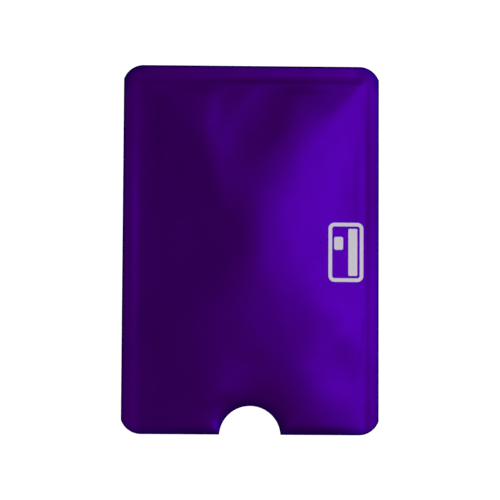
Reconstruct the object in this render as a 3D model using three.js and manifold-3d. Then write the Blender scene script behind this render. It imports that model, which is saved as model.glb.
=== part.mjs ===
// Flat foil sleeve for one bank card: two laminated panels joined by heat seals on three sides.
// Each panel is three bonded plies: dyed film outside, metal shield foil, sealable liner inside.
// Millimetres. +X across the sleeve, +Y from the open mouth to the closed end, +Z out of the front.
// The sleeve lies on its rear panel, empty and relaxed.
import * as THREE from "three";
import { mergeVertices } from "three/addons/utils/BufferGeometryUtils.js";
import Module from "manifold-3d";

const wasm = await Module();
wasm.setup();

// Card that the pocket is made for, and the room left around it
const cardWidth = 53.98;
const cardLength = 85.6;
const sideClearance = 1.01;
const mouthCover = 1.9;

// Heat seals and the cut outline
const sealWidth = 3.5;
const cornerRadius = 5.2;
const cornerRunOut = 0.3;
const notchRadius = 7.5;
const notchDepth = 7;

// Plies of one panel
const filmThickness = 0.05;
const foilThickness = 0.03;
const linerThickness = 0.1;

// Line that the sealing bar presses into both panels, at the inner side of each seal
const pressDepth = 0.05;
const pressFloor = 0.6;
const pressOuterSlope = 0.7;
const pressInnerSlope = 1.4;

// Bulge of the relaxed front panel over the pocket
const bulgeHeight = 1.1;
const mouthOpening = 0.3;
const bulgeSharpness = 5;

// Fineness of the faceted surfaces
const stepsAcross = 7;
const stepsAlong = 13;
const arcSteps = 12;
const trimMargin = 2;

// Sizes that follow
const pocketWidth = cardWidth + 2 * sideClearance;
const pocketLength = cardLength + mouthCover;
const sleeveWidth = pocketWidth + 2 * sealWidth;
const sleeveLength = pocketLength + sealWidth;
const panelThickness = filmThickness + foilThickness + linerThickness;
const sideEdge = sleeveWidth / 2;
const endEdge = sleeveLength / 2;
const mouthEdge = -sleeveLength / 2;
const pocketSide = pocketWidth / 2;
const pocketEnd = endEdge - sealWidth;
const pressStart = sealWidth - pressFloor - pressOuterSlope;
const pressFull = sealWidth - pressFloor;
const pressEnd = sealWidth + pressInnerSlope;
const cutHeight = 2 * (panelThickness + bulgeHeight);

// Distance inward from the nearest sealed edge; the mouth is free
function sealedEdgeDistance(x, y) {
  return Math.min(sideEdge - Math.abs(x), endEdge - y);
}

// Depth pressed into each panel by the sealing bar: slope, flat floor, slope
function pressed(x, y) {
  const inset = sealedEdgeDistance(x, y);
  const outer = (inset - pressStart) / pressOuterSlope;
  const inner = (pressEnd - inset) / pressInnerSlope;
  return pressDepth * THREE.MathUtils.clamp(Math.min(outer, inner), 0, 1);
}

// Opening between the liners: a pillow held down by the seals and half open at the mouth.
// It is the soft minimum of three planes that rise from the sides, the closed end and the mouth.
function opening(x, y) {
  const fromSide = (pocketSide - Math.abs(x)) / pocketSide;
  const fromEnd = (pocketEnd - y) / (pocketLength / 2);
  if (fromSide <= 0 || fromEnd <= 0) {
    return 0;
  }
  const fromMouth = (y - mouthEdge) / (pocketLength / 2);
  const rises = [
    bulgeHeight * fromSide,
    bulgeHeight * fromEnd,
    mouthOpening + (bulgeHeight - mouthOpening) * Math.max(fromMouth, 0),
  ];
  const total = rises.reduce((sum, rise) => sum + rise ** -bulgeSharpness, 0);
  return total ** (-1 / bulgeSharpness);
}

// Heights of the ply faces above the seam, where the two liners meet
const linerLeft = (x, y) => linerThickness - pressed(x, y);
const frontHeights = [
  opening,
  (x, y) => opening(x, y) + linerLeft(x, y),
  (x, y) => opening(x, y) + linerLeft(x, y) + foilThickness,
  (x, y) => opening(x, y) + linerLeft(x, y) + foilThickness + filmThickness,
];
const rearHeights = [
  () => 0,
  (x, y) => -linerLeft(x, y),
  (x, y) => -linerLeft(x, y) - foilThickness,
  (x, y) => -linerLeft(x, y) - foilThickness - filmThickness,
];

// Grid lines of the plies, close together across a seal
const pressInsets = [pressStart, pressFull, sealWidth, pressEnd];

function evenSteps(from, to, count) {
  return Array.from({ length: count }, (_, i) => from + ((to - from) * (i + 1)) / count);
}

function linesAcross(steps) {
  const insets = [-trimMargin, ...pressInsets, ...evenSteps(pressEnd, sideEdge, steps)];
  const left = insets.map((inset) => inset - sideEdge);
  const right = left.slice(0, -1).map((x) => -x).reverse();
  return [...left, ...right];
}

function linesAlong(steps) {
  const insets = [-trimMargin, ...pressInsets, ...evenSteps(pressEnd, sleeveLength + trimMargin, steps)];
  return insets.map((inset) => endEdge - inset).reverse();
}

const bulgedGrid = [linesAcross(stepsAcross), linesAlong(stepsAlong)];
const flatGrid = [linesAcross(1), linesAlong(1)];

// Closed sheet between two heights over a grid. Both faces split their cells along the same diagonal,
// the one that runs from the corner of the sleeve inward, so that stacked plies touch all over.
function sheet([xs, ys], under, over) {
  const columns = xs.length;
  const rows = ys.length;
  const points = [under, over].flatMap((height) =>
    ys.flatMap((y) => xs.flatMap((x) => [x, y, height(x, y)])),
  );
  const low = (i, j) => j * columns + i;
  const high = (i, j) => columns * rows + low(i, j);
  const faces = [];
  for (let j = 0; j + 1 < rows; j++) {
    for (let i = 0; i + 1 < columns; i++) {
      const corners = [[i, j], [i + 1, j], [i + 1, j + 1], [i, j + 1]];
      const turn = (xs[i] + xs[i + 1]) * (ys[j] + ys[j + 1]) > 0 ? 0 : 1;
      const [a, b, c, d] = [0, 1, 2, 3].map((k) => corners[(k + turn) % 4]);
      for (const [p, q, r] of [[a, b, c], [a, c, d]]) {
        faces.push(high(...p), high(...q), high(...r));
        faces.push(low(...p), low(...r), low(...q));
      }
    }
  }
  const rim = [];
  for (let i = 0; i + 1 < columns; i++) rim.push([i, 0]);
  for (let j = 0; j + 1 < rows; j++) rim.push([columns - 1, j]);
  for (let i = columns - 1; i > 0; i--) rim.push([i, rows - 1]);
  for (let j = rows - 1; j > 0; j--) rim.push([0, j]);
  rim.forEach((start, k) => {
    const end = rim[(k + 1) % rim.length];
    faces.push(low(...start), low(...end), high(...end));
    faces.push(low(...start), high(...end), high(...start));
  });
  const geometry = new THREE.BufferGeometry();
  geometry.setAttribute("position", new THREE.Float32BufferAttribute(points, 3));
  geometry.setIndex(faces);
  return geometry;
}

// Outline of both panels: round corners and a round thumb notch in the mouth edge.
// The corner arcs touch the ends, but run out a little past the sides, where they leave a blunt point.
function sleeveOutline() {
  const shape = new THREE.Shape();
  const quarter = Math.PI / 2;
  const cornerX = sideEdge + cornerRunOut - cornerRadius;
  const cornerY = endEdge - cornerRadius;
  const runOutAngle = Math.acos(1 - cornerRunOut / cornerRadius);
  const notchCentreY = mouthEdge + notchDepth - notchRadius;
  const notchReach = Math.acos(Math.min((mouthEdge - notchCentreY) / notchRadius, 1));
  shape.absarc(cornerX, -cornerY, cornerRadius, -quarter, -runOutAngle);
  shape.absarc(cornerX, cornerY, cornerRadius, runOutAngle, quarter);
  shape.absarc(-cornerX, cornerY, cornerRadius, quarter, 2 * quarter - runOutAngle);
  shape.absarc(-cornerX, -cornerY, cornerRadius, 2 * quarter + runOutAngle, 3 * quarter);
  shape.absarc(0, notchCentreY, notchRadius, quarter + notchReach, quarter - notchReach, true);
  return shape;
}

// Plain rectangle seen from the front
function rectangle(left, right, bottom, top) {
  const corners = [[left, bottom], [right, bottom], [right, top], [left, top]];
  return new THREE.Shape(corners.map(([x, y]) => new THREE.Vector2(x, y)));
}

// Upright prism on a shape, tall enough to cut through every ply
function prism(shape) {
  const geometry = new THREE.ExtrudeGeometry(shape, {
    depth: 2 * cutHeight,
    bevelEnabled: false,
    curveSegments: arcSteps,
  });
  return geometry.translate(0, 0, -cutHeight);
}

function solidOf(geometry) {
  const bare = geometry.clone();
  bare.deleteAttribute("normal");
  bare.deleteAttribute("uv");
  const merged = mergeVertices(bare, 1e-5);
  const mesh = new wasm.Mesh({
    numProp: 3,
    vertProperties: Float32Array.from(merged.attributes.position.array),
    triVerts: Uint32Array.from(merged.index.array),
  });
  return new wasm.Manifold(mesh);
}

function geometryOf(solid) {
  const mesh = solid.getMesh();
  const geometry = new THREE.BufferGeometry();
  geometry.setAttribute("position", new THREE.BufferAttribute(mesh.vertProperties, 3));
  geometry.setIndex(new THREE.BufferAttribute(mesh.triVerts, 1));
  geometry.computeVertexNormals();
  return geometry;
}

// Zones of the outline: the whole sleeve, the pocket, and one strip for each seal
const outline = solidOf(prism(sleeveOutline()));
const beyondSide = sideEdge + trimMargin;
const beyondEnd = endEdge + trimMargin;
const pocketZone = solidOf(prism(rectangle(-pocketSide, pocketSide, -beyondEnd, pocketEnd)));
const leftZone = solidOf(prism(rectangle(-beyondSide, -pocketSide, -beyondEnd, beyondEnd)));
const rightZone = solidOf(prism(rectangle(pocketSide, beyondSide, -beyondEnd, beyondEnd)));
const endZone = solidOf(prism(rectangle(-pocketSide, pocketSide, pocketEnd, beyondEnd)));

function trimmed(sheetGeometry, zone) {
  const cut = solidOf(sheetGeometry).intersect(outline);
  return geometryOf(zone ? cut.intersect(zone) : cut);
}

const filmFinish = { color: 0x5400b8, roughness: 0.38, metalness: 0.9 };
const foilFinish = { color: 0xc9cacc, roughness: 0.3, metalness: 1 };
const linerFinish = { color: 0xd9d9dc, roughness: 0.6, metalness: 0 };
const sealFinish = { color: 0xcfcfd4, roughness: 0.55, metalness: 0 };

function piece(name, geometry, finish) {
  const mesh = new THREE.Mesh(geometry, new THREE.MeshStandardMaterial(finish));
  mesh.name = name;
  return mesh;
}

const frontPanel = new THREE.Group();
frontPanel.add(
  piece("front_liner", trimmed(sheet(bulgedGrid, frontHeights[0], frontHeights[1]), pocketZone), linerFinish),
  piece("front_shield_foil", trimmed(sheet(bulgedGrid, frontHeights[1], frontHeights[2])), foilFinish),
  piece("front_color_film", trimmed(sheet(bulgedGrid, frontHeights[2], frontHeights[3])), filmFinish),
);

const rearPanel = new THREE.Group();
rearPanel.add(
  piece("rear_liner", trimmed(sheet(flatGrid, rearHeights[1], rearHeights[0]), pocketZone), linerFinish),
  piece("rear_shield_foil", trimmed(sheet(flatGrid, rearHeights[2], rearHeights[1])), foilFinish),
  piece("rear_color_film", trimmed(sheet(flatGrid, rearHeights[3], rearHeights[2])), filmFinish),
);

// In the seals the two liners have melted into one band between the foils
const seals = new THREE.Group();
const sealBand = sheet(flatGrid, rearHeights[1], linerLeft);
seals.add(
  piece("left_seal", trimmed(sealBand, leftZone), sealFinish),
  piece("right_seal", trimmed(sealBand, rightZone), sealFinish),
  piece("end_seal", trimmed(sealBand, endZone), sealFinish),
);

// The seam stands one panel thickness above the face that the sleeve rests on
const sleeve = new THREE.Group();
for (const layer of [rearPanel, seals, frontPanel]) {
  layer.position.z = panelThickness;
  sleeve.add(layer);
}

export default sleeve;
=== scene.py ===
import math

import bpy
import numpy as np
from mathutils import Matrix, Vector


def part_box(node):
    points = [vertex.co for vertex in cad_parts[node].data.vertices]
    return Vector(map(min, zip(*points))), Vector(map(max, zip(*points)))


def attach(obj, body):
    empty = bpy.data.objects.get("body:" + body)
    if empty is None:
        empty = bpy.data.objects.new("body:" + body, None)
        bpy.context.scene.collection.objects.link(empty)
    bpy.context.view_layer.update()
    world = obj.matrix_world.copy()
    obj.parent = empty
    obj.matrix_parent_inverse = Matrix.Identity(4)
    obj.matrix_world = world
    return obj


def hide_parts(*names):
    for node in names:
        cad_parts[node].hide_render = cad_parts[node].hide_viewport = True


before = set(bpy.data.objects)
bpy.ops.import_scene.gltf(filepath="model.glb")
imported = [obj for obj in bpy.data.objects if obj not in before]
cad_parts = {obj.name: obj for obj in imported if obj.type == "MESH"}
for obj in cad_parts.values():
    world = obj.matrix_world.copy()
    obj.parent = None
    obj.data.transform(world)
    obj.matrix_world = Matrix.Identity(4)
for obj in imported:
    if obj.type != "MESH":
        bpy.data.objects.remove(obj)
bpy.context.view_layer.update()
mm = 0.001
print("frame loaded:", len(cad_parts), "nodes")


def boxMm(node):
    # lowest and highest corner of a CAD node, in millimetres
    low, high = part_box(node)
    return np.array(low) / mm, np.array(high) / mm


# sizes read from the frame
filmLow, filmHigh = boxMm("front_color_film")
sealLow, sealHigh = boxMm("left_seal")
foilLow = boxMm("rear_shield_foil")[0]
sideEdge = filmHigh[0]
endEdge = filmHigh[1]
mouthEdge = filmLow[1]
sealWidth = sealHigh[0] - sealLow[0]
pocketSide = sideEdge - sealWidth
pocketEnd = endEdge - sealWidth
pocketLength = pocketEnd - mouthEdge
seamHeight = (sealLow[2] + sealHigh[2]) / 2
linerThickness = (sealHigh[2] - sealLow[2]) / 2
filmThickness = foilLow[2]
foilThickness = sealLow[2] - foilLow[2]
plyLevels = np.cumsum([0, linerThickness, foilThickness, filmThickness])

# cut outline, mm
outline = {"cornerRadius": 5.2, "cornerRunOut": 0.3, "notchRadius": 7.5, "notchDepth": 7.0}
cornerX = sideEdge + outline["cornerRunOut"] - outline["cornerRadius"]
cornerY = endEdge - outline["cornerRadius"]
notchCentreY = mouthEdge + outline["notchDepth"] - outline["notchRadius"]
notchHalfWidth = math.sqrt(outline["notchRadius"] ** 2 - (mouthEdge - notchCentreY) ** 2)

# least height that a soft minimum takes, mm
leastRise = 1e-6


def softStep(t):
    # 0 below 0, 1 above 1, smooth cubic between
    t = np.clip(t, 0.0, 1.0)
    return t * t * (3 - 2 * t)


def softMin(parts, sharpness):
    # the smallest of several positive heights, rounded where two are alike: a power mean
    parts = [np.maximum(p, leastRise) for p in parts]
    return sum(p ** -sharpness for p in parts) ** (-1 / sharpness)


def notchDistance(x, y):
    # distance outward from the round thumb notch
    return np.hypot(x, y - notchCentreY) - outline["notchRadius"]


def cutDistance(x, y):
    # distance inward from the cut edge: least of rounded rectangle, straight sides and notch circle
    qx = np.abs(x) - cornerX
    qy = np.abs(y) - cornerY
    past = np.hypot(np.maximum(qx, 0), np.maximum(qy, 0)) + np.minimum(np.maximum(qx, qy), 0)
    inward = np.minimum(outline["cornerRadius"] - past, sideEdge - np.abs(x))
    return np.minimum(inward, notchDistance(x, y))


def mouthDistance(x, y):
    # distance inward from the free edge at the mouth, round the notch too
    return np.minimum(y - mouthEdge, notchDistance(x, y))


def shadeEdgeDistance(x, y):
    # distance inward from the edges that painted shade darkens: the free lip, its notch and the closed end's
    # corners
    offLip = np.maximum(np.abs(x) - pocketSide, 0)
    offCorner = np.maximum(np.maximum(cornerX - np.abs(x), cornerY - y), 0)
    return np.minimum(mouthDistance(x, y) + offLip, cutDistance(x, y) + offCorner)


# lines pressed by the sealing bars: distance from the sealed edge, depth, slopes and floor width, mm;
# where the left one is hardest and the end's fades, the end's skew, and the rear panel's share of depth
press = {
    "left": {"inset": 4.4, "depth": 0.024, "outer": 2.4, "inner": 9.0},
    "right": {"inset": 3.2, "depth": 0.006, "outer": 0.9, "inner": 0.9},
    "end": {"inset": 2.45, "depth": 0.08, "outer": 1.6, "inner": 2.4},
    "floor": 0.2,
    "cornerBlend": 3.0,
    "endSkew": 0.008,
    "hardest": {"y": 3.0, "length": 19.0, "gain": 1.1},
    "faintest": {"x": 25.0, "run": 5.5, "loss": 0.9},
    "rearShare": 0.6,
}


def pressedSection(away, line):
    # slope, flat floor and slope, by the distance from the sealed edge
    outer = softStep((away - line["inset"] + press["floor"] / 2) / line["outer"] + 1)
    inner = softStep((line["inset"] + press["floor"] / 2 - away) / line["inner"] + 1)
    return line["depth"] * np.minimum(outer, inner)


def pressedDepth(x, y):
    # the deeper of two lines: the end's, slightly askew and fading at both ends, and a side's, which stops
    # there; the left one is pressed hardest near its middle, by a bell along Y
    fromSide, fromEnd = sideEdge - np.abs(x), endEdge - y
    bell = np.exp(-(((y - press["hardest"]["y"]) / press["hardest"]["length"]) ** 2))
    left = pressedSection(fromSide, press["left"]) * (1 + press["hardest"]["gain"] * bell)
    side = np.where(x < 0, left, pressedSection(fromSide, press["right"]))
    reach = softStep((fromEnd - press["end"]["inset"]) / press["cornerBlend"])
    faintest = press["faintest"]
    faint = softStep((np.abs(x) - faintest["x"]) / faintest["run"]) * faintest["loss"]
    end = pressedSection(fromEnd + press["endSkew"] * x, press["end"])
    return np.maximum(side * reach, end * (1 - faint))


# relaxed front panel: heights, runs and places in mm, with powers for how hollow a rise is
pillow = {
    "height": 1.0,
    "mouth": 0.265,
    "endRun": 32.0,
    "endCurve": 1.25,
    "mouthHinge": -25.0,
    "hingeSlant": 0.14,
    "mouthRun": 31.5,
    "hingeRound": 0.5,
    "crownX": 1.5,
    "crownRound": 1.75,
    "leftHollow": (1.8, 1.1),
    "rightHollow": (1.3, 0.7),
    "hollowBlend": 8.0,
    "fullest": -18.5,
    "fullLength": 8.5,
    "archShare": 0.15,
    "archLength": 6.0,
    "sharpness": 4.5,
    "mouthSharpness": 3.5,
}


def pillowOpening(x, y):
    # soft minimum of three rises: a power of the way from the sides to a rounded crown, hollow but for the
    # fullest part and a low arch at the mouth, a power of the way from the closed end, and a rounded plane
    # from a slanting hinge line near the mouth
    shift = pillow["crownX"] * (1 - (x / pocketSide) ** 2)
    reach = np.hypot(pocketSide, pillow["crownRound"])
    fromSide = (reach - np.hypot(x - shift, pillow["crownRound"])) / (reach - pillow["crownRound"])
    fromEnd = (pocketEnd - y) / pillow["endRun"]
    fromHinge = (y - pillow["mouthHinge"] - pillow["hingeSlant"] * x) / pillow["mouthRun"]
    fromHinge = (fromHinge + np.hypot(fromHinge, pillow["hingeRound"])) / 2
    arch = pillow["archShare"] * softStep(1 - (y - mouthEdge) / pillow["archLength"])
    full = np.maximum(np.exp(-(((y - pillow["fullest"]) / pillow["fullLength"]) ** 2)), arch)
    left, right = [h[0] + (h[1] - h[0]) * full for h in (pillow["leftHollow"], pillow["rightHollow"])]
    rightward = softStep((x + pillow["hollowBlend"] / 2) / pillow["hollowBlend"])
    hollow = left + (right - left) * rightward
    sideRise = pillow["height"] * np.maximum(fromSide, 0) ** hollow
    endRise = pillow["height"] * np.maximum(fromEnd, 0) ** pillow["endCurve"]
    mouthRise = pillow["mouth"] + (pillow["height"] - pillow["mouth"]) * fromHinge
    sealed = softMin([sideRise, endRise], pillow["sharpness"])
    inside = (np.abs(x) < pocketSide) & (fromEnd > 0)
    return np.where(inside, softMin([sealed, mouthRise], pillow["mouthSharpness"]), 0.0)


# creases of the slack film: start, end, bow to the right, half widths to its left and right, height, mm;
# a negative height is a hollow, fades are shares of the length, and all die out below a pillow of seamBlend
folds = {
    "fadeIn": 0.4,
    "fadeOut": 0.4,
    "beyond": 1.1,
    "seamBlend": 0.07,
    "lines": [
        {"start": (-4.5, 3.5), "end": (-11.5, 44), "bow": -3.5, "widths": (11.5, 4.5), "height": 0.16},
        {"start": (-1.5, 17.5), "end": (12.5, 43), "bow": 4, "widths": (5.5, 11.5), "height": 0.16},
        {"start": (-7, 18.5), "end": (2.5, 43), "bow": -3.5, "widths": (3, 3), "height": 0.03},
        {"start": (-5.5, -27.5), "end": (-4.5, -38.5), "bow": 0.5, "widths": (11, 8), "height": 0.08},
        {"start": (15.5, -11.5), "end": (23.5, -43), "bow": -3, "widths": (6, 6), "height": 0.08},
        {"start": (-3.5, -31.5), "end": (-8.5, -42), "bow": -2, "widths": (4.5, 2.5), "height": 0.055},
        {"start": (3.5, -17), "end": (10.5, -55), "bow": 2.5, "widths": (6, 7.5), "height": 0.14},
        {"start": (20.5, -11.5), "end": (32.5, -36), "bow": -1, "widths": (4.5, 2.5), "height": 0.075},
        {"start": (26, 30.5), "end": (20.5, 2.5), "bow": -1.5, "widths": (2.5, 5), "height": -0.07},
    ],
}


def foldHeight(x, y):
    # each crease: a bell across its line, bowed by a parabola, fading in from its start and out past its end
    total = 0
    for fold in folds["lines"]:
        start, end = np.array(fold["start"]), np.array(fold["end"])
        length = np.hypot(*(end - start))
        ux, uy = (end - start) / length
        along = ((x - start[0]) * ux + (y - start[1]) * uy) / length
        across = ((x - start[0]) * uy - (y - start[1]) * ux) * np.sign(uy)
        across = across - fold["bow"] * 4 * along * (1 - along)
        width = np.where(across < 0, fold["widths"][0], fold["widths"][1])
        fade = softStep(along / folds["fadeIn"]) * softStep((folds["beyond"] - along) / folds["fadeOut"])
        total = total + fold["height"] * fade * np.exp(-((across / width) ** 2))
    return total


# faint waves left in the film by winding: length mm, turn from X in degrees, phase in turns, height mm
waves = [
    {"length": 9.0, "turn": 20, "phase": 0.1, "height": 0.0025},
    {"length": 13.0, "turn": 75, "phase": 0.6, "height": 0.004},
    {"length": 17.0, "turn": 130, "phase": 0.3, "height": 0.005},
    {"length": 23.0, "turn": 45, "phase": 0.8, "height": 0.006},
]


def waveHeight(x, y):
    # sum of plane sine waves
    total = 0
    for wave in waves:
        turn = math.radians(wave["turn"])
        run = (x * math.cos(turn) + y * math.sin(turn)) / wave["length"] + wave["phase"]
        total = total + wave["height"] * np.sin(2 * math.pi * run)
    return total


# sealed rims rolled over by the cutting die, mm, and the free lip, which droops and then turns down, but
# for the notch's left corner, which is lifted
rollOver = {
    "rimWidth": 0.8,
    "frontDrop": 0.02,
    "rearLift": 0.03,
    "freeBlend": 2.0,
    "lip": {"width": 6.5, "share": 0.27},
    "lipEdge": {"width": 2.4, "share": 0.33},
    "seamRun": 3.5,
    "notch": {"width": 16.0, "share": 0.355},
    "lifted": {"x": -10.0, "y": -45.0, "reach": 3.0, "share": 0.6},
}


# slow twist of the sealed side flanges: tilt, length along Y and where each is flat, mm; the end flange's
# ripple along X, and the right flange's curl up at the mouth
twist = {
    "left": {"tilt": 0.0035, "length": 54.0, "flatAt": 25.0},
    "right": {"tilt": 0.01, "length": 70.0, "flatAt": 34.5},
    "end": {"height": 0.025, "length": 37.5, "steepestAt": 13.0, "blend": 2.0},
    "curl": {"height": 0.05, "run": 6.0, "from": 25.0, "blend": 2.5},
}


def flangeTwist(x, y):
    # drop of the flanges: a side's tilt about its seam, a sine along Y, less the end's ripple, a sine along
    # X, and less the curl, a parabola towards the mouth
    drops = []
    for flange in (twist["left"], twist["right"]):
        turn = 2 * math.pi * (y - flange["flatAt"]) / flange["length"]
        drops.append(flange["tilt"] * np.maximum(np.abs(x) - pocketSide, 0) * np.sin(turn))
    end = twist["end"]
    ripple = end["height"] * np.sin(2 * math.pi * (x - end["steepestAt"]) / end["length"])
    curl = twist["curl"]
    lift = curl["height"] * np.clip(1 - (y - mouthEdge) / curl["run"], 0, 1) ** 2
    lift = lift * softStep((x - curl["from"]) / curl["blend"])
    inEnd = softStep((y - pocketEnd + end["blend"] / 2) / end["blend"])
    return np.where(x < 0, *drops) - ripple * inEnd - lift


def rimRoll(x, y):
    # share of the roll at the sealed rims: a parabola over the rim's width, none along the free mouth
    share = np.clip(1 - cutDistance(x, y) / rollOver["rimWidth"], 0, 1) ** 2
    sealed = np.maximum(np.abs(x) - pocketSide, y - pocketEnd)
    return share * softStep(sealed / rollOver["freeBlend"] + 1)


def lipRoll(x, y):
    # share of the opening lost at the free lip: parabolas by the distance from the mouth edge, where the
    # seams hold the wide one up, and by the distance from the notch, less by a bell at the lifted corner
    away = mouthDistance(x, y)
    held = softStep((pocketSide - np.abs(x)) / rollOver["seamRun"])
    parts = [("lip", away, held), ("lipEdge", away, 1.0), ("notch", notchDistance(x, y), 1.0)]
    total = 0
    for key, distance, gain in parts:
        part = rollOver[key]
        total = total + gain * part["share"] * np.clip(1 - distance / part["width"], 0, 1) ** 2
    lifted = rollOver["lifted"]
    corner = np.hypot(x - lifted["x"], y - lifted["y"]) / lifted["reach"]
    return total * (1 - lifted["share"] * np.exp(-(corner**2)))


def frontOpening(x, y):
    # pocket opening with its creases, which die out at the seams, and the lip rolled down
    base = pillowOpening(x, y)
    creased = base + foldHeight(x, y) * softStep(base / folds["seamBlend"])
    return creased * (1 - lipRoll(x, y))


def frontFace(level):
    # height of a front ply face: seam, opening and the plies under it, less what is pressed, rolled and
    # twisted, plus the waves; level 0 is the liner's smooth inside, 3 the outside of the film
    def height(x, y):
        squeeze = 0
        if level:
            sealed = pressedDepth(x, y) + rollOver["frontDrop"] * rimRoll(x, y)
            squeeze = sealed + flangeTwist(x, y) - waveHeight(x, y)
        return seamHeight + frontOpening(x, y) + plyLevels[level] - squeeze

    return height


def rearFace(level):
    # height of a rear ply face: seam less the plies over it, plus what is pressed and rolled; level 0 is
    # the liner's flat inside, 3 the outside of the film
    def height(x, y):
        squeeze = 0 * x
        if level:
            squeeze = press["rearShare"] * pressedDepth(x, y) + rollOver["rearLift"] * rimRoll(x, y)
        return seamHeight - plyLevels[level] + squeeze

    return height


def topEdge(x):
    # closed end of the outline at x: straight, with round corners
    reach = np.maximum(np.abs(x) - cornerX, 0)
    return cornerY + np.sqrt(outline["cornerRadius"] ** 2 - reach * reach)


def bottomEdge(x):
    # mouth edge of the outline at x: straight, with round corners and the notch
    notch = notchCentreY + np.sqrt(np.maximum(outline["notchRadius"] ** 2 - x * x, 0))
    return np.where(np.abs(x) < notchHalfWidth, np.maximum(notch, mouthEdge), -topEdge(x))


def straightEdge(level):
    # an edge at the same Y for every x
    def edge(x):
        return np.full_like(x, level)

    return edge


def putMesh(name, points, faces, smooth, material):
    # points in millimetres, quads and a smooth flag for each, as arrays; every point keeps its distance
    # from the cut edge and from the edges that painted shade darkens
    mesh = bpy.data.meshes.new(name)
    mesh.vertices.add(len(points))
    mesh.vertices.foreach_set("co", (points * mm).astype(np.float32).ravel())
    mesh.loops.add(faces.size)
    mesh.loops.foreach_set("vertex_index", faces.astype(np.int32).ravel())
    mesh.polygons.add(len(faces))
    mesh.polygons.foreach_set("loop_start", np.arange(0, faces.size, 4, dtype=np.int32))
    mesh.polygons.foreach_set("use_smooth", smooth)
    mesh.update(calc_edges=True)
    mesh.materials.append(material)
    for key, distance in (("edgeDistance", cutDistance), ("shadeEdgeDistance", shadeEdgeDistance)):
        layer = mesh.attributes.new(key, "FLOAT", "POINT")
        layer.data.foreach_set("value", distance(points[:, 0], points[:, 1]).astype(np.float32))
    piece = bpy.data.objects.new(name, mesh)
    bpy.context.scene.collection.objects.link(piece)
    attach(piece, "root")
    return piece


def sheetFaces(columns, rows):
    # quads of a closed sheet: upper face, lower face turned over, and the rim between them
    i, j = np.meshgrid(np.arange(columns - 1), np.arange(rows - 1), indexing="ij")
    a = (i * rows + j).ravel()
    upper = np.stack([a, a + rows, a + rows + 1, a + 1], 1)
    lower = upper[:, ::-1] + columns * rows
    first, last = np.arange(rows), (columns - 1) * rows + np.arange(rows)
    near, far = np.arange(columns) * rows, np.arange(columns) * rows + rows - 1
    loop = np.concatenate([near[:-1], last[:-1], far[:0:-1], first[:0:-1]])
    onward = np.roll(loop, -1)
    rim = np.stack([loop + columns * rows, onward + columns * rows, onward, loop], 1)
    smooth = np.concatenate([np.ones(2 * len(upper), bool), np.zeros(len(rim), bool)])
    return np.concatenate([upper, lower, rim]), smooth


def closedSheet(name, xs, shares, low, high, under, over, material):
    # columns at xs, rows at shares of the way from low(x) to high(x), between two heights
    x = np.repeat(xs[:, None], len(shares), 1)
    y = low(xs)[:, None] + (high(xs) - low(xs))[:, None] * shares[None, :]
    levels = [np.stack([x, y, face(x, y)], -1).reshape(-1, 3) for face in (over, under)]
    faces, smooth = sheetFaces(len(xs), len(shares))
    return putMesh(name, np.concatenate(levels), faces, smooth, material)


def spaced(stops, counts):
    # stops joined by evenly spaced runs of points
    runs = [np.linspace(a, b, n, endpoint=False) for a, b, n in zip(stops, stops[1:], counts)]
    return np.concatenate(runs + [np.array([stops[-1]])])


def columnLines(count):
    # x lines: close together round the corners and in the notch, where the outline turns
    first = math.acos((sideEdge - cornerX) / outline["cornerRadius"])
    turn = np.linspace(first, math.pi / 2, count["corner"], endpoint=False)
    left = -cornerX - outline["cornerRadius"] * np.cos(turn)
    flank = np.linspace(-cornerX, -notchHalfWidth, count["flank"], endpoint=False)
    swing = np.linspace(-1, 1, count["notch"]) * math.asin(notchHalfWidth / outline["notchRadius"])
    middle = outline["notchRadius"] * np.sin(swing)
    return np.concatenate([left, flank, middle, -flank[::-1], -left[::-1]])


def rowShares(count):
    # shares along Y: close together at the lip and across the end seal
    length = endEdge - mouthEdge
    stops = [0, rollOver["lipEdge"]["width"] / length, 1 - 2 * sealWidth / length, 1]
    return spaced(stops, [count["lip"], count["field"], count["seam"]])


def hexLinear(code):
    # sRGB hex to linear red, green, blue and alpha
    srgb = np.array([int(code[k : k + 2], 16) for k in (1, 3, 5)]) / 255
    linear = np.where(srgb <= 0.04045, srgb / 12.92, ((srgb + 0.055) / 1.055) ** 2.4)
    return (*linear.tolist(), 1.0)


def perMetre(millimetres):
    # texture scale whose pattern repeats about once in that length
    return 1 / (millimetres * mm)


def addNode(tree, kind, settings=None, links=None):
    # one node: settings name a property or a socket, links name a socket and its source
    node = tree.nodes.new(kind)
    for key, value in (settings or {}).items():
        if isinstance(key, str) and hasattr(node, key):
            setattr(node, key, value)
        else:
            node.inputs[key].default_value = value
    for key, source in (links or {}).items():
        tree.links.new(source, node.inputs[key])
    return node


# sockets of a colour mix node, and the middle part of a noise that a gloss range is spread over
mixShare, mixFirst, mixSecond, mixed = 0, 6, 7, 2
noiseSpan = (0.3, 0.7)


def newMaterial(name):
    # empty node tree under that name
    material = bpy.data.materials.new(name)
    material.use_nodes = True
    material.node_tree.nodes.clear()
    return material, material.node_tree


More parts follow.
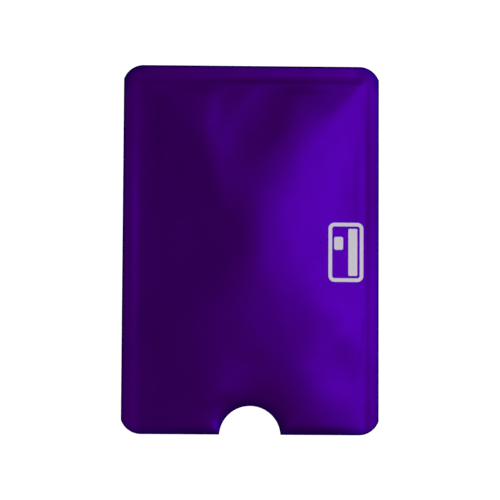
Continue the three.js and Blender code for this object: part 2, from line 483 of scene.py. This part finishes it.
# film: dye, painted shade darkening it along the cut edge, the lip, the notch and the closed end's corners,
# gloss and the web's own texture
filmLook = {
    "dye": "#5301bd",
    "thinDye": "#4e01b5",
    "mottleMm": 14.0,
    "mottleDetail": 3.0,
    "mottleRoughness": 0.55,
    # painted shade: each colour below darkens the film towards an edge, the cut edge or the lip, notch and
    # end corners
    "edges": {
        "shadedRim": {"color": "#3a00b2", "by": "edgeDistance", "fadeMm": (0.2, 1.0)},
        "shadedLipAndCorners": {"color": "#3400a6", "by": "shadeEdgeDistance", "fadeMm": (0.0, 2.6)},
        "cutEdgeShade": {"color": "#200068", "by": "edgeDistance", "fadeMm": (0.08, 0.5)},
    },
    "roughness": (0.165, 0.195),
    "roughnessMm": 5.0,
    "roughnessDetail": 4.0,
    "rimRoughness": 0.04,
    "webLineMm": (0.9, 24.0, 0.9),
    "peelMm": 1.1,
    "reliefDetail": 2.0,
    "reliefMm": 0.0012,
}


def dyedMetallisedFilm(look):
    # vacuum-metallised polyester, dyed and rolled: a deep satin mirror, mottled where the dye is thin, with
    # painted shade making it a darker blue near the cut edge, lip, notch and end corners, darkest along the
    # cut, with faint lines along the web
    material, tree = newMaterial("dyedMetallisedPolyester")
    place = addNode(tree, "ShaderNodeTexCoord")
    mottle = addNode(
        tree,
        "ShaderNodeTexNoise",
        {
            "Scale": perMetre(look["mottleMm"]),
            "Detail": look["mottleDetail"],
            "Roughness": look["mottleRoughness"],
        },
        {"Vector": place.outputs["Object"]},
    )
    dye = addNode(
        tree,
        "ShaderNodeMix",
        {"data_type": "RGBA", mixFirst: hexLinear(look["thinDye"]), mixSecond: hexLinear(look["dye"])},
        {mixShare: mottle.outputs["Fac"]},
    )
    # each painted-shade layer covers the one before it at the edge and fades inward
    color, cover = dye, {}
    for layer, edge in look["edges"].items():
        distance = addNode(tree, "ShaderNodeAttribute", {"attribute_name": edge["by"]})
        cover[layer] = addNode(
            tree,
            "ShaderNodeMapRange",
            {
                "interpolation_type": "SMOOTHSTEP",
                "From Min": edge["fadeMm"][0],
                "From Max": edge["fadeMm"][1],
                "To Min": 1.0,
                "To Max": 0.0,
            },
            {"Value": distance.outputs["Fac"]},
        )
        color = addNode(
            tree,
            "ShaderNodeMix",
            {"data_type": "RGBA", mixSecond: hexLinear(edge["color"])},
            {mixShare: cover[layer].outputs["Result"], mixFirst: color.outputs[mixed]},
        )
    haze = addNode(
        tree,
        "ShaderNodeTexNoise",
        {"Scale": perMetre(look["roughnessMm"]), "Detail": look["roughnessDetail"]},
        {"Vector": place.outputs["Object"]},
    )
    satin = addNode(
        tree,
        "ShaderNodeMapRange",
        {
            "From Min": noiseSpan[0],
            "From Max": noiseSpan[1],
            "To Min": look["roughness"][0],
            "To Max": look["roughness"][1],
        },
        {"Value": haze.outputs["Fac"]},
    )
    rubbed = addNode(
        tree,
        "ShaderNodeMath",
        {"operation": "MULTIPLY_ADD", 1: look["rimRoughness"]},
        {0: cover["shadedRim"].outputs["Result"], 2: satin.outputs["Result"]},
    )
    webScale = addNode(
        tree,
        "ShaderNodeMapping",
        {"Scale": tuple(perMetre(size) for size in look["webLineMm"])},
        {"Vector": place.outputs["Object"]},
    )
    webLines = addNode(
        tree,
        "ShaderNodeTexNoise",
        {"Scale": 1.0, "Detail": look["reliefDetail"]},
        {"Vector": webScale.outputs["Vector"]},
    )
    peel = addNode(
        tree,
        "ShaderNodeTexNoise",
        {"Scale": perMetre(look["peelMm"]), "Detail": look["reliefDetail"]},
        {"Vector": place.outputs["Object"]},
    )
    relief = addNode(
        tree,
        "ShaderNodeMath",
        {"operation": "ADD"},
        {0: webLines.outputs["Fac"], 1: peel.outputs["Fac"]},
    )
    bump = addNode(
        tree,
        "ShaderNodeBump",
        {"Strength": 1.0, "Distance": look["reliefMm"] * mm},
        {"Height": relief.outputs["Value"]},
    )
    shader = addNode(
        tree,
        "ShaderNodeBsdfPrincipled",
        {"Metallic": 1.0},
        {
            "Base Color": color.outputs[mixed],
            "Roughness": rubbed.outputs["Value"],
            "Normal": bump.outputs["Normal"],
        },
    )
    addNode(tree, "ShaderNodeOutputMaterial", links={"Surface": shader.outputs["BSDF"]})
    return material


# foil: rolled lines run along Y
foilLook = {
    "name": "rolledAluminiumFoil",
    "tones": ("#c2c4c7", "#d3d4d6"),
    "grainMm": (0.6, 18.0, 0.6),
    "grainDetail": 4.0,
    "metallic": 1.0,
    "roughness": (0.26, 0.38),
    "reliefMm": 0.002,
}
linerLook = {
    "name": "castPolyethyleneLiner",
    "tones": ("#d3d3d7", "#e0e0e2"),
    "grainMm": (2.5, 2.5, 2.5),
    "grainDetail": 4.0,
    "metallic": 0.0,
    "roughness": (0.42, 0.56),
    "reliefMm": 0.004,
}
sealLook = {
    "name": "fusedPolyethyleneSeal",
    "tones": ("#c6c6cc", "#d6d6da"),
    "grainMm": (1.2, 1.2, 1.2),
    "grainDetail": 4.0,
    "metallic": 0.0,
    "roughness": (0.36, 0.5),
    "reliefMm": 0.004,
}
inkLook = {
    "name": "silverFlakeInk",
    "tones": ("#ddddee", "#e8e9f8"),
    "grainMm": (0.5, 0.5, 0.5),
    "grainDetail": 4.0,
    "metallic": 0.2,
    "roughness": (0.42, 0.55),
    "reliefMm": 0.002,
}


def grainedFinish(look):
    # rolled foil, cast liner, fused seal or flake ink: two close tones, gloss and relief on one grain,
    # so foil shows rolling lines, plastic a soft cloud and ink a fine sparkle
    material, tree = newMaterial(look["name"])
    place = addNode(tree, "ShaderNodeTexCoord")
    scale = addNode(
        tree,
        "ShaderNodeMapping",
        {"Scale": tuple(perMetre(size) for size in look["grainMm"])},
        {"Vector": place.outputs["Object"]},
    )
    grain = addNode(
        tree,
        "ShaderNodeTexNoise",
        {"Scale": 1.0, "Detail": look["grainDetail"]},
        {"Vector": scale.outputs["Vector"]},
    )
    color = addNode(
        tree,
        "ShaderNodeMix",
        {"data_type": "RGBA", mixFirst: hexLinear(look["tones"][0]), mixSecond: hexLinear(look["tones"][1])},
        {mixShare: grain.outputs["Fac"]},
    )
    gloss = addNode(
        tree,
        "ShaderNodeMapRange",
        {
            "From Min": noiseSpan[0],
            "From Max": noiseSpan[1],
            "To Min": look["roughness"][0],
            "To Max": look["roughness"][1],
        },
        {"Value": grain.outputs["Fac"]},
    )
    bump = addNode(
        tree,
        "ShaderNodeBump",
        {"Strength": 1.0, "Distance": look["reliefMm"] * mm},
        {"Height": grain.outputs["Fac"]},
    )
    shader = addNode(
        tree,
        "ShaderNodeBsdfPrincipled",
        {"Metallic": look["metallic"]},
        {
            "Base Color": color.outputs[mixed],
            "Roughness": gloss.outputs["Result"],
            "Normal": bump.outputs["Normal"],
        },
    )
    addNode(tree, "ShaderNodeOutputMaterial", links={"Surface": shader.outputs["BSDF"]})
    return material


filmMaterial = dyedMetallisedFilm(filmLook)
foilMaterial = grainedFinish(foilLook)
linerMaterial = grainedFinish(linerLook)
sealMaterial = grainedFinish(sealLook)
inkMaterial = grainedFinish(inkLook)
print("materials made")

# grid lines of the plies: how many in each stretch, and the least gap beside the pocket's side, mm
grid = {
    "fine": {"corner": 36, "flank": 50, "notch": 41, "lip": 12, "field": 130, "seam": 36},
    "plain": {"corner": 18, "flank": 24, "notch": 29, "lip": 6, "field": 50, "seam": 18},
    "sealRows": 12,
    "leastGap": 0.01,
}
plain = grid["plain"]
fineX = columnLines(grid["fine"])
fineRows = rowShares(grid["fine"])
plainX = columnLines(plain)
plainRows = rowShares(plain)
within = np.abs(plainX) < pocketSide - grid["leastGap"]
beyond = plainX < -pocketSide - grid["leastGap"]
pocketX = np.concatenate([[-pocketSide], plainX[within], [pocketSide]])
leftX = np.concatenate([plainX[beyond], [-pocketSide]])
rightX = -leftX[::-1]
pocketStops = [0, rollOver["lipEdge"]["width"] / pocketLength, 1]
pocketRows = spaced(pocketStops, [plain["lip"], plain["field"]])
sealRows = np.linspace(0, 1, grid["sealRows"])
endLine = straightEdge(pocketEnd)

# grid lines, edges along Y, and the lower and upper face of each ply from the pocket outward
fineGrid, plainGrid = (fineX, fineRows), (plainX, plainRows)
cutEdges, pocketEdges = (bottomEdge, topEdge), (bottomEdge, endLine)
frontLiner, frontFoil, frontFilm = [(frontFace(k), frontFace(k + 1)) for k in range(3)]
rearLiner, rearFoil, rearFilm = [(rearFace(k + 1), rearFace(k)) for k in range(3)]
seal = (rearFace(1), frontFace(1))

# piece, CAD node, slot, grid lines, edges, faces, material
plies = [
    ("frontColorFilm", "front_color_film", "color_film", fineGrid, cutEdges, frontFilm, filmMaterial),
    ("frontShieldFoil", "front_shield_foil", "shield_foil", plainGrid, cutEdges, frontFoil, foilMaterial),
    ("frontLiner", "front_liner", "liner", (pocketX, pocketRows), pocketEdges, frontLiner, linerMaterial),
    ("rearLiner", "rear_liner", "liner", (pocketX, pocketRows), pocketEdges, rearLiner, linerMaterial),
    ("rearShieldFoil", "rear_shield_foil", "shield_foil", plainGrid, cutEdges, rearFoil, foilMaterial),
    ("rearColorFilm", "rear_color_film", "color_film", (fineX, plainRows), cutEdges, rearFilm, filmMaterial),
    ("leftSeal", "left_seal", "seal", (leftX, plainRows), cutEdges, seal, sealMaterial),
    ("rightSeal", "right_seal", "seal", (rightX, plainRows), cutEdges, seal, sealMaterial),
    ("endSeal", "end_seal", "seal", (pocketX, sealRows), (endLine, topEdge), seal, sealMaterial),
]
for name, node, slot, lines, edges, faces, material in plies:
    piece = closedSheet(name, *lines, *edges, *faces, material)
    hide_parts(node)
print("plies and seals made:", len(plies))

# plain card sign printed in silver: an outline, a stripe and a chip block, long side along Y, mm
sign = {
    "centre": (23.4, -0.6),
    "size": (8.6, 14.6),
    "radius": 1.5,
    "stroke": 0.9,
    "cornerSteps": 8,
    "sideSteps": 6,
    "stripe": {"centre": (25.1, -0.6), "size": (2.2, 11.6), "radius": 0.3, "columns": 6, "rows": 40},
    "chip": {"centre": (21.6, 1.6), "size": (2.2, 3.2), "radius": 0.5, "columns": 6, "rows": 14},
    "inkHeight": 0.012,
    "inkBite": 0.008,
}
filmTop = frontFace(3)


def inkTop(x, y):
    # upper side of the ink layer on the film
    return filmTop(x, y) + sign["inkHeight"]


def inkUnder(x, y):
    # under side of the ink layer, a little inside the film
    return filmTop(x, y) - sign["inkBite"]


def inkBlock(name, block):
    # filled rounded rectangle: at each x, Y runs between the two rounded ends
    (cx, cy), (width, height), r = block["centre"], block["size"], block["radius"]
    turn = np.linspace(0, math.pi / 2, block["columns"], endpoint=False)
    left = cx - width / 2 + r - r * np.cos(turn)
    middle = np.linspace(cx - width / 2 + r, cx + width / 2 - r, block["columns"])
    xs = np.concatenate([left, middle, 2 * cx - left[::-1]])
    rows = np.linspace(0, 1, block["rows"])

    def halfHeight(x):
        # half of the block's height at x
        reach = np.clip(np.abs(x - cx) - (width / 2 - r), 0, r)
        return height / 2 - r + np.sqrt(r * r - reach * reach)

    def low(x):
        # lower end of the block at x
        return cy - halfHeight(x)

    def high(x):
        # upper end of the block at x
        return cy + halfHeight(x)

    return closedSheet(name, xs, rows, low, high, inkUnder, inkTop, inkMaterial)


def inkRing(name, look):
    # rounded rectangle path carried round with a flat section: stroke wide, ink thick
    (cx, cy), (width, height), r = look["centre"], look["size"], look["radius"]
    offsets = np.array([look["stroke"], 0.0])
    turns = [math.pi / 2 * k + np.linspace(0, math.pi / 2, look["cornerSteps"]) for k in range(4)]
    signs = [(1, 1), (-1, 1), (-1, -1), (1, -1)]
    path, normal = [], []
    for turn, (sx, sy) in zip(turns, signs):
        out = np.stack([np.cos(turn), np.sin(turn)], 1)
        corner = np.array([cx + sx * (width / 2 - r), cy + sy * (height / 2 - r)])
        path.append(corner + r * out)
        normal.append(out)
    path, normal = np.concatenate(path), np.concatenate(normal)
    # more points on the straight sides, so that the ink follows the film
    share = np.linspace(0, 1, look["sideSteps"], endpoint=False)[None, :, None]
    path = (path[:, None] * (1 - share) + np.roll(path, -1, 0)[:, None] * share).reshape(-1, 2)
    normal = (normal[:, None] * (1 - share) + np.roll(normal, -1, 0)[:, None] * share).reshape(-1, 2)
    inner, outer = [path - normal * offset for offset in offsets]
    section = [(inner, inkUnder), (outer, inkUnder), (outer, inkTop), (inner, inkTop)]
    points = np.stack([np.column_stack([p, face(p[:, 0], p[:, 1])]) for p, face in section], 1)
    count = len(path)
    i, k = np.meshgrid(np.arange(count), np.arange(4), indexing="ij")
    a, b = i * 4 + k, i * 4 + (k + 1) % 4
    onwardA, onwardB = (i + 1) % count * 4 + k, (i + 1) % count * 4 + (k + 1) % 4
    faces = np.stack([a, onwardA, onwardB, b], -1).reshape(-1, 4)
    return putMesh(name, points.reshape(-1, 3), faces, np.zeros(len(faces), bool), inkMaterial)


inkRing("signOutline", sign)
inkBlock("signStripe", sign["stripe"])
inkBlock("signChip", sign["chip"])
print("sign printed")

# studio: pale walls, a dim warm ceiling and a white floor
stage = {
    "floorHalf": 2.0,
    "floorDrop": 0.0002,
    "floorColor": "#e8e8e8",
    "floorGlow": 0.7,
    "walls": (1.0, 1.0, 1.0, 1.0),
    "ceiling": (0.295, 0.21, 0.13, 1.0),
    "ceilingFrom": (0.6, 0.96),
}
world = bpy.data.worlds.new("studio")
bpy.context.scene.world = world
world.use_nodes = True
tree = world.node_tree
tree.nodes.clear()
place = addNode(tree, "ShaderNodeTexCoord")
upward = addNode(tree, "ShaderNodeSeparateXYZ", links={"Vector": place.outputs["Generated"]})
ceiling = addNode(
    tree,
    "ShaderNodeMapRange",
    {
        "interpolation_type": "SMOOTHSTEP",
        "From Min": stage["ceilingFrom"][0],
        "From Max": stage["ceilingFrom"][1],
    },
    {"Value": upward.outputs["Z"]},
)
tone = addNode(
    tree,
    "ShaderNodeMix",
    {"data_type": "RGBA", mixFirst: stage["walls"], mixSecond: stage["ceiling"]},
    {mixShare: ceiling.outputs["Result"]},
)
room = addNode(tree, "ShaderNodeBackground", links={"Color": tone.outputs[mixed]})
addNode(tree, "ShaderNodeOutputWorld", links={"Surface": room.outputs["Background"]})

floorMesh = bpy.data.meshes.new("floor")
half, drop = stage["floorHalf"], -stage["floorDrop"]
corners = [(-half, -half, drop), (half, -half, drop), (half, half, drop), (-half, half, drop)]
floorMesh.from_pydata(corners, [], [(0, 1, 2, 3)])
floor = bpy.data.objects.new("floor", floorMesh)
bpy.context.scene.collection.objects.link(floor)
floorMaterial, tree = newMaterial("paintedFloor")
paint = addNode(tree, "ShaderNodeBsdfDiffuse", {"Color": hexLinear(stage["floorColor"])})
path = addNode(tree, "ShaderNodeLightPath")
direct = addNode(
    tree,
    "ShaderNodeMath",
    {"operation": "MAXIMUM"},
    {0: path.outputs["Is Camera Ray"], 1: path.outputs["Is Glossy Ray"]},
)
seen = addNode(
    tree,
    "ShaderNodeMath",
    {"operation": "MAXIMUM"},
    {0: direct.outputs["Value"], 1: path.outputs["Is Transmission Ray"]},
)
glow = addNode(
    tree,
    "ShaderNodeMath",
    {"operation": "MULTIPLY", 1: stage["floorGlow"]},
    {0: seen.outputs["Value"]},
)
white = addNode(tree, "ShaderNodeEmission", links={"Strength": glow.outputs["Value"]})
lit = addNode(tree, "ShaderNodeAddShader", links={0: paint.outputs["BSDF"], 1: white.outputs["Emission"]})
addNode(tree, "ShaderNodeOutputMaterial", links={"Surface": lit.outputs["Shader"]})
floorMesh.materials.append(floorMaterial)

# light panel and the dim spill round it, metres; the film mirrors each at its radiance
panels = {
    "lightPanel": {
        "x": (0.148, 0.80),
        "y": (0.0, 0.46),
        "height": 2.0,
        "radiance": 0.9,
        "color": (0.95, 1, 1),
    },
    "panelSpill": {
        "x": (-0.06, 0.90),
        "y": (-0.10, 0.56),
        "height": 2.01,
        "radiance": 0.17,
        "color": (1, 0.48, 0.41),
    },
}
for name, panel in panels.items():
    lamp = bpy.data.lights.new(name, "AREA")
    lamp.shape = "RECTANGLE"
    lamp.size = panel["x"][1] - panel["x"][0]
    lamp.size_y = panel["y"][1] - panel["y"][0]
    lamp.energy = panel["radiance"] * math.pi * lamp.size * lamp.size_y
    lamp.color = panel["color"]
    lampObject = bpy.data.objects.new(name, lamp)
    lampObject.location = (sum(panel["x"]) / 2, sum(panel["y"]) / 2, panel["height"])
    bpy.context.scene.collection.objects.link(lampObject)

# camera nearly square above the sleeve
view = {
    "lens": 200.0,
    "sensor": 36.0,
    "placeMm": (-17.47, -64.22, 679.4),
    "turnDeg": (5.386, -1.452, 0.44),
}
cameraData = bpy.data.cameras.new("photoCamera")
cameraData.lens = view["lens"]
cameraData.sensor_width = view["sensor"]
camera = bpy.data.objects.new("photoCamera", cameraData)
camera.location = np.array(view["placeMm"]) * mm
camera.rotation_mode = "ZYX"
camera.rotation_euler = np.radians(view["turnDeg"])
bpy.context.scene.collection.objects.link(camera)
bpy.context.scene.camera = camera
bpy.context.scene.view_settings.view_transform = "Standard"
print("studio made")
